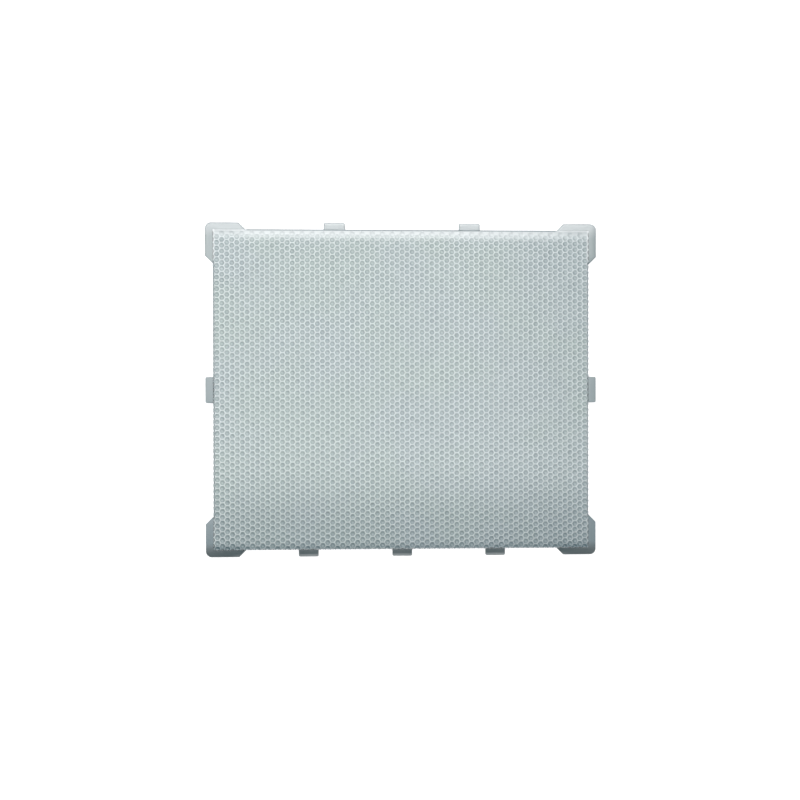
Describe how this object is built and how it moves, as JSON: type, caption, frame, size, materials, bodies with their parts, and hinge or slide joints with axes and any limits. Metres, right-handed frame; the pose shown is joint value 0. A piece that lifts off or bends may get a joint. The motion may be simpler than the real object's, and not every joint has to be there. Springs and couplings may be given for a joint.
{
  "type": "comb foundation sheet",
  "caption": "Flat moulded sheet with six-sided cells on both faces, bevelled corner ears and edge tabs that hold it in a hive frame.",
  "frame": {"origin": "middle of the sheet's outline, on the plane of the back cell walls that it rests on", "axes": "+X along the long side, +Y towards the edge with two tabs, +Z out of the front face"},
  "size_m": [0.3676, 0.3128, 0.0042],
  "materials": {
    "cell_plastic": "milky pale grey-green moulded plastic, satin, slightly translucent",
    "edge_plastic": "the same moulded plastic where it is plain, smooth and a little glossier"
  },
  "bodies": {
    "root": {"back_cell_walls": "cell_plastic", "septum": "cell_plastic", "front_cell_walls": "cell_plastic", "top_rim": "edge_plastic", "top_left_ear": "edge_plastic", "top_right_ear": "edge_plastic", "bottom_left_ear": "edge_plastic", "bottom_right_ear": "edge_plastic", "top_tab_left": "edge_plastic", "top_tab_right": "edge_plastic", "bottom_tab_left": "edge_plastic", "bottom_tab_middle": "edge_plastic", "bottom_tab_right": "edge_plastic", "side_tab_left": "edge_plastic", "side_tab_right": "edge_plastic"}
  },
  "joints": []
}
